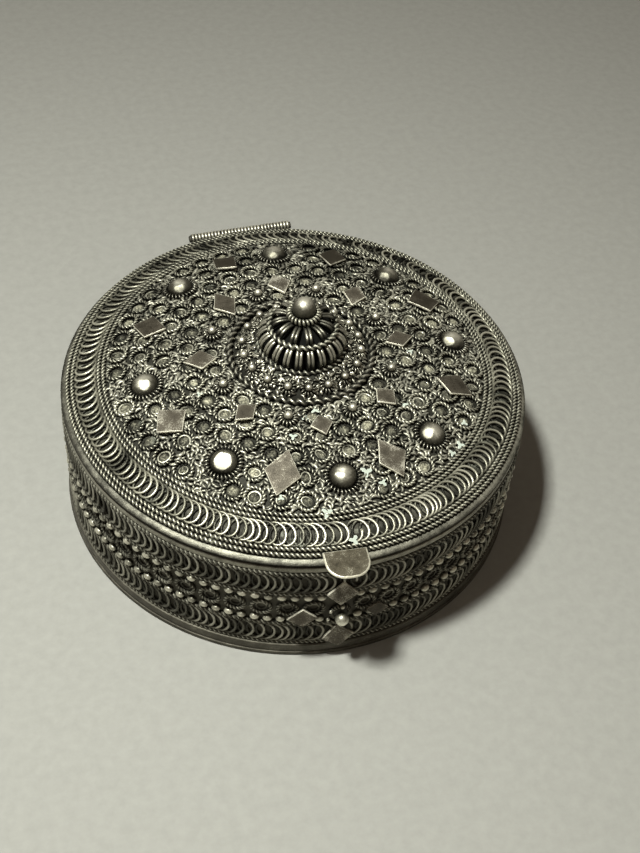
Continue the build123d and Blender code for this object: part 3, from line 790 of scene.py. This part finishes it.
# ---- lid: ornaments ----
def lid_plates(node, name, sizes):
    """Lozenges that stand over the wire, each as its maker cut it."""
    plates = []
    for middle, (length, width, spin, rubbed) in zip(islands(node), sizes):
        outline = rhombus(length, width, 0.3)
        bow, twist = chance.uniform(-0.5, 0.1), chance.uniform(-0.35, 0.35)
        shape = plate(outline, plate_thickness, 0.14, bow, twist)
        place = lid_seat_at(*middle[:2], plate_lift, radians(spin)) @ upright(lean=0.3 * twist)
        plates.append(placed((*shape[:3], shape[3] + rubbed), [place]))
    show(name, joined(plates), "lid", plate_silver, node)


def glint_facing(point):
    """Way that a worn flat faces where the photo shows it glint: between the key lamp and the camera."""
    ways = np.array([key_place, eye_place]) - point
    return (ways / norm(ways, axis=1, keepdims=True)).mean(0)


def worn_dome(place, depth):
    """Dome with a wavy skin and a flat worn on its top."""
    points, *others = dome(radius=3.4, height=3.1)
    waves = chance.uniform(0, 2 * pi, 2)
    points[:, 2] += 0.1 * np.sin(1.9 * points[:, 0] + waves[0]) * np.sin(1.9 * points[:, 1] + waves[1])
    facing = glint_facing(place[:3, 3]) + chance.uniform(-0.03, 0.03, 3)
    facing = place[:3, :3].T @ facing / norm(facing)
    over = points @ facing
    over = np.clip(over - over.max() + depth, 0, None)
    return placed((points - over[:, None] * facing, *others), [place])


def lid_ornaments():
    """Domes and granules in their collars, and the lozenges."""
    domes = [lid_seat_at(*middle[:2], spin=chance.uniform(0, 6)) for middle in islands("dome_collars")]
    show("lid_domes", joined([worn_dome(*dome) for dome in zip(domes, dome_flats)]), "lid", dome_silver,
         "domes")
    collar = coil_ring(radius=4.05, out=0.62, height=0.5, wire=0.42, turns=28)
    show("lid_dome_collars", placed(collar, domes), "lid", finial_silver, "dome_collars")
    spots = [middle[:2] for middle in islands("granule_collars")]
    collar = coil_ring(radius=1.75, out=0.72, height=0.5, wire=0.46, turns=15)
    show("lid_granule_collars", placed(collar, [lid_seat_at(*s, 0.3) for s in spots]), "lid", finial_silver,
         "granule_collars")
    show("lid_granules", placed(ball(1.12), [lid_seat_at(*s, 0.85) for s in spots]), "lid", dome_silver,
         "granules")
    lid_plates("outer_lozenges", "outer_plates", outer_plates)
    lid_plates("inner_lozenges", "inner_plates", inner_plates)


# ---- lid: rings and bits of wire that fill it ----
def field_obstacles():
    """Middles and radii of what the rings lie round; the finial comes last."""
    spots = [(*middle[:2], dome_room) for middle in islands("dome_collars")]
    spots += [(*middle[:2], granule_room) for middle in islands("granule_collars")]
    return np.array(spots + [(*finial_axis, span("finial_foot_rope")[1][1] - 0.1)])


def spread_rings(obstacles):
    """Places (x, y) of the lid's rings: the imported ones, and others pushed into the room that they leave."""
    packed = np.array([middle[:2] for middle in islands("border_rings")])
    others, row = [], field_outer - ring_outer
    while row > obstacles[-1, 2] + ring_outer / 2:
        others.append(round_z(row, front + angles(int(2 * pi * row / ring_pitch)), 0.0)[:, :2])
        row -= ring_row_pitch
    others = np.vstack(others)
    room = norm(others[:, None] - obstacles[None, :, :2], axis=-1) - obstacles[:, 2]
    taken = norm(others[:, None] - packed[None], axis=-1).min(1) < 2.2
    places = np.vstack([packed, others[~taken & (room.min(1) > 0.45 * ring_outer)]])
    loose = np.arange(len(places)) >= len(packed)
    for _ in range(200):
        gap = places[:, None] - places[None]
        apart = norm(gap, axis=-1) + np.eye(len(places)) * 99
        push = 0.3 * (gap * (np.clip(2 * ring_outer + 0.1 - apart, 0, None) / apart)[..., None]).sum(1)
        places[loose] += push[loose]
        for x, y, clear in obstacles:
            away = places[loose] - (x, y)
            far = norm(away, axis=-1)
            places[loose] += away * (np.clip(clear + ring_outer - far, 0, None) / far)[:, None]
        far = norm(places, axis=-1)
        places[loose] *= (np.minimum(far, field_outer - ring_outer) / far)[loose, None]
    kept = []
    for place in places:
        if all(hypot(*(place - other)) > 1.62 * ring_outer for other in kept):
            kept.append(place)
    return np.array(kept)


def fill_gaps(rings, obstacles):
    """Places of short bits of wire between the rings."""
    rows, columns = np.mgrid[-60:61, -60:61]
    spots = np.stack([bit_spacing * (columns + 0.5 * (rows % 2)), bit_spacing * 0.87 * rows], -1)
    spots = spots.reshape(-1, 2)
    spots = spots + chance.uniform(-0.25, 0.25, spots.shape)
    from_rings = norm(spots[:, None] - rings, axis=-1).min(1)
    from_others = (norm(spots[:, None] - obstacles[:, :2], axis=-1) - obstacles[:, 2]).min(1)
    inside = norm(spots, axis=-1) < field_outer
    return spots[inside & (from_rings > ring_outer + 0.1) & (from_others > 0)]


def crusty(radius, height, around=14):
    """Low rough mound."""
    rings = []
    for share, level in ((1.0, 0.02), (0.85, 0.45), (0.6, 0.8), (0.35, 0.95), (0.12, 1.0)):
        out = radius * share * chance.uniform(0.85, 1.15, around)
        rings.append(round_z(out, angles(around), height * level * chance.uniform(0.45, 1.5, around)))
    return skin(np.array(rings), np.clip(np.array(rings)[..., 2] / height * 0.6 - 0.05, 0, 1))


def ring_field():
    """Twisted rings, most with a plain ring inside, all with some crust, and bits of wire between them."""
    obstacles = field_obstacles()
    spots = spread_rings(obstacles)
    rings, cores, mounds = [], [], []
    for x, y in spots:
        place = lid_seat_at(x, y, 0.0, chance.uniform(0, 6))
        uneven = stretched(*chance.uniform(0.94, 1.03, 2), 1)
        rings.append(place @ uneven @ upright(level=chance.uniform(0.05, 0.4)))
        if chance.uniform() < 0.7:
            cores.append(place @ stretched(*chance.uniform(0.7, 1.3, 2), 1))
        mounds.append(place @ stretched(1, 1, chance.uniform(0.6, 1.7)))
    show("lid_rings", placed(twisted_ring(), rings, 0.25), "lid", wire_silver, "border_rings")
    show("lid_inner_rings", placed(plain_ring(inner_ring_wire), cores, 0.25), "lid", wire_silver)
    crusts = [placed(crusty(radius=1.6, height=0.42), [place], 0.25) for place in mounds]
    show("lid_ring_crust", joined(crusts), "lid", crust)
    bits = []
    for x, y in fill_gaps(spots, obstacles):
        size = chance.uniform(0.75, 1.3)
        place = lid_seat_at(x, y, chance.uniform(-0.15, 0.3), chance.uniform(0, 6))
        bits.append(place @ stretched(size, size, size))
    show("lid_wire_bits", placed(bit(length=1.75, bow=0.4), bits, 0.4), "lid", bit_silver)


def pale_deposits():
    """Pale three-cornered patches in the gaps between the wires."""
    around, patches = 24, []
    for x, y, size in deposits:
        reach = size * (0.75 + 0.4 * np.cos(3 * angles(around)) + chance.uniform(-0.08, 0.08, around))
        patch = plate(reach[:, None] * circle(1.0, around), thickness=0.3, edge=0.1)
        patches.append(placed(patch, [lid_seat_at(x, y, 0.7, chance.uniform(0, 6))]))
    show("lid_deposits", joined(patches), "lid", deposit)


# ---- finial ----
def finial_skirt():
    """Cone with rosettes and bits of wire on its slope."""
    low, high = span("finial_skirt")
    foot, top = high[1] - 0.3, span("finial_shoulder_rope")[1][1]
    rise = high[2] - low[2]
    tilt = atan2(rise, foot - top)
    cone = turned([(foot, low[2] - 0.3), (foot, low[2]), (top, high[2]), (0.5, high[2])], 0.35, 96)
    show("finial_cone", placed(cone, [upright(finial_axis)]), "lid", ground_silver, "finial_skirt")
    seats = [upright(finial_axis, a, (foot + top) / 2, (low[2] + high[2]) / 2, tilt)
             for a in directions("skirt_granules", finial_axis)]
    collar = coil_ring(radius=1.5, out=0.62, height=0.45, wire=0.44, turns=12)
    show("skirt_collars", placed(collar, seats, 0.1), "lid", finial_silver)
    show("skirt_balls", placed(ball(1.0), [s @ upright(level=0.5) for s in seats], 0.15), "lid", dome_silver,
         "skirt_granules")
    bits = []
    for angle, share in zip(chance.uniform(0, 2 * pi, skirt_bits), chance.uniform(0.04, 0.98, skirt_bits)):
        place = upright(finial_axis, angle, foot + (top - foot) * share, low[2] + rise * share, tilt)
        bits.append(place @ upright(angle=chance.uniform(0, 6)))
    show("skirt_wire_bits", placed(bit(length=1.6, bow=0.3), bits, 0.4), "lid", finial_silver)


def finial_rope(node, name, pitch, metal=finial_silver, fuller=0.0):
    """Thick rope where its CAD node is, perhaps a little fuller."""
    low, high = span(node)
    thickness = high[2] - low[2] + fuller
    radius = high[1] - thickness / 2 + fuller / 2

    def path_of(share):
        return round_z(radius, -2 * pi * share, (low[2] + high[2]) / 2) + (*finial_axis, 0), (0, 0, 1)

    show(name, rope(path_of, 2 * pi * radius, thickness, pitch), "lid", metal, node)


def wire_loops(node, name, bend, pinch, top_shade):
    """Pairs of wires that bow outwards along a curve of four (radius, height) points.

    They come nearer together towards the top, and darker there: painted shade under the rope and the collar
    that lie over their upper ends.
    """
    share = np.linspace(0, 1, 17)[:, None]
    a, b, c, d = np.array(bend)
    curve = (a * (1 - share)**3 + 3 * b * share * (1 - share)**2 + 3 * c * share**2 * (1 - share)
             + d * share**3)
    # painted shade towards each loop's upper end, under what lies over it
    wear_and_shading = np.clip(2.6 * share - 0.35, 0, 1) * (1 - top_shade * share**2) * (0.6 + 0.4 * np.cos(angles(8)))
    wires = []
    for side in (-1, 1):
        path = np.stack([curve[:, 0], side * (loop_pair - pinch * share[:, 0]) / 2, curve[:, 1]], -1)
        wires.append(tube(path, (0, 1, 0), circle(loop_wire / 2), wear_and_shading))
    places = [upright(finial_axis, a) for a in directions(node, finial_axis)]
    show(name, placed(joined(wires), places, 0.12), "lid", finial_silver, node)


def finial():
    """Three thick ropes over the skirt, two tiers of loops between them, collar and ball."""
    finial_rope("finial_foot_rope", "foot_rope", foot_pitch)
    finial_rope("finial_shoulder_rope", "shoulder_rope", finial_pitch, bit_silver, 0.4)
    finial_rope("finial_waist_rope", "waist_rope", finial_pitch, wire_silver, 0.6)
    shoulder, skirt_top = span("finial_shoulder_rope")[1][1], span("finial_skirt")[1][2]
    waist, waist_top = span("finial_waist_rope")[1][1:]
    neck, neck_foot = span("finial_neck")[1][1], span("finial_neck")[0][2]
    wire_loops("finial_lower_loops", "lower_wire_loops",
               ((shoulder - 1.5, skirt_top + 1.5), (shoulder + 0.3, skirt_top + 2.0),
                (waist + 1.6, waist_top - 1.5), (waist - 0.7, waist_top - 1.4)), pinch=0.1, top_shade=0.1)
    wire_loops("finial_upper_loops", "upper_wire_loops",
               ((waist - 1.3, waist_top + 0.1), (waist - 0.9, waist_top + 1.6),
                (neck + 2.0, neck_foot - 0.3), (neck - 0.6, neck_foot - 0.7)), pinch=0.2, top_shade=0.8)
    collar = coil_ring(radius=neck - 0.5, out=0.6, height=0.72, wire=0.62, turns=24)
    show("neck_collar", placed(collar, [upright(finial_axis, level=neck_foot - 0.3)]), "lid", wire_silver,
         "finial_neck")
    low, high = span("finial_ball")
    *knob, wear_and_shading = ball((high[2] - low[2]) / 2, 40, 24)
    show("top_ball", placed((*knob, wear_and_shading**2.3), [upright(finial_axis, level=low[2])]), "lid", dome_silver,
         "finial_ball")
    # the core is painted near-black: dark oxide and painted shade between the loops
    paint("finial_core", oxide_and_shade)


# ---- thumb tab ----
def thumb_tab():
    """Plate with a rounded end that laps the rim and stands out over the wall."""
    top = span("thumb_tab")[1][2]
    corners = np.array([v.co[:2] for v in frame["nodes"]["thumb_tab"].data.vertices]) / MM
    out = corners @ (cos(front), sin(front))
    half = np.abs(corners @ (-sin(front), cos(front))).max()
    end = np.ptp(out) / 2
    outline = [(-end, half), (-end, -half)]
    for side in (-1, 1):
        outline += [(end - tab_corner * (1 - cos(a)), side * (half - tab_corner * (1 - sin(a))))
                    for a in np.linspace(pi / 2, 0, 9)[::-side]]
    tab = plate(along_sides(np.array(outline), 4), tab_thickness, edge=0.26, bend=-0.12)
    middle = (out.min() + out.max()) / 2 - 0.03
    tab = placed(tab, [upright(angle=front, radius=middle, level=top - tab_thickness)])
    bed = block((-lid_rim_overlap, -half + 1.2, 0), (0, half - 1.2, top - lid_top - tab_thickness + 0.2))
    bed = placed(bed, [upright(angle=front, radius=lid_radius, level=lid_top)])
    show("tab_plate", joined([tab, bed]), "lid", tab_silver, "thumb_tab")


# ---- stage, light and camera ----
def stage():
    """Plain pale floor, faintly patchy, in a dim warm room."""
    bpy.ops.mesh.primitive_plane_add(size=3)
    floor = bpy.context.object
    floor.name = "floor"
    recipe = Recipe("pale floor")
    darker = [0.9 * c for c in floor_colour]
    patchy = recipe.ramp(recipe.noise(0.35), (0.3, darker), (0.7, floor_colour))
    recipe.fill(recipe.shader, Base_Color=patchy, Roughness=0.8)
    floor.data.materials.append(recipe.material)
    world = bpy.data.worlds.new("room")
    bpy.context.scene.world = world
    world.use_nodes = True
    background = world.node_tree.nodes["Background"]
    background.inputs["Color"].default_value = (1.0, 0.80, 0.60, 1.0)
    background.inputs["Strength"].default_value = 0.11


def aimed(name, data, place, way, roll=0.0):
    """A lamp or camera at a place, looking a way."""
    made = added(name, data)
    made.location = Vector(place) * MM
    made.rotation_mode = "QUATERNION"
    made.rotation_quaternion = way.to_track_quat("-Z", "Y") @ Quaternion((0, 0, 1), roll)
    return made


def lamp(name, place, aim, size, power, tint, spread=180):
    """Square light at a place, aimed at a point."""
    data = bpy.data.lights.new(name, "AREA")
    data.size, data.energy, data.spread, data.color = size * MM, power, radians(spread), tint
    aimed(name, data, place, Vector(aim) - Vector(place))


def camera():
    """Camera above the front left, for a 640 x 853 image."""
    heading, dip, roll = radians(20.91), radians(47.64), radians(5.28)
    data = bpy.data.cameras.new("camera")
    data.sensor_fit, data.sensor_height, data.sensor_width, data.lens = "AUTO", 36, 36, 53.85
    data.clip_start, data.clip_end = 0.01, 10
    look = Vector((sin(heading) * cos(dip), cos(heading) * cos(dip), -sin(dip)))
    bpy.context.scene.camera = aimed("camera", data, eye_place, look, roll)


body_sheet()
wall_coil("lower_coil_band", "lower_coil")
wall_coil("upper_coil_band", "upper_coil")
bead_wire("lower_bead_row", "lower_beads")
bead_wire("upper_bead_row", "upper_beads")
wall_rings()
front_ornament()
hinge()
lid_shell()
lid_wires()
lid_ornaments()
ring_field()
pale_deposits()
finial_skirt()
finial()
thumb_tab()
stage()
lamp("key", key_place, (-30, -100, 0), 50, 3.2, (0.975, 1.0, 0.93), 172)
lamp("side", (-850, 150, 600), (-50, 0, 0), 800, 0.8, (0.975, 1.0, 0.95))
lamp("fill", (480, -830, 1180), (0, 0, 30), 1200, 1.1, (1.0, 0.92, 0.78))
camera()
bpy.context.scene.view_settings.view_transform = "Standard"
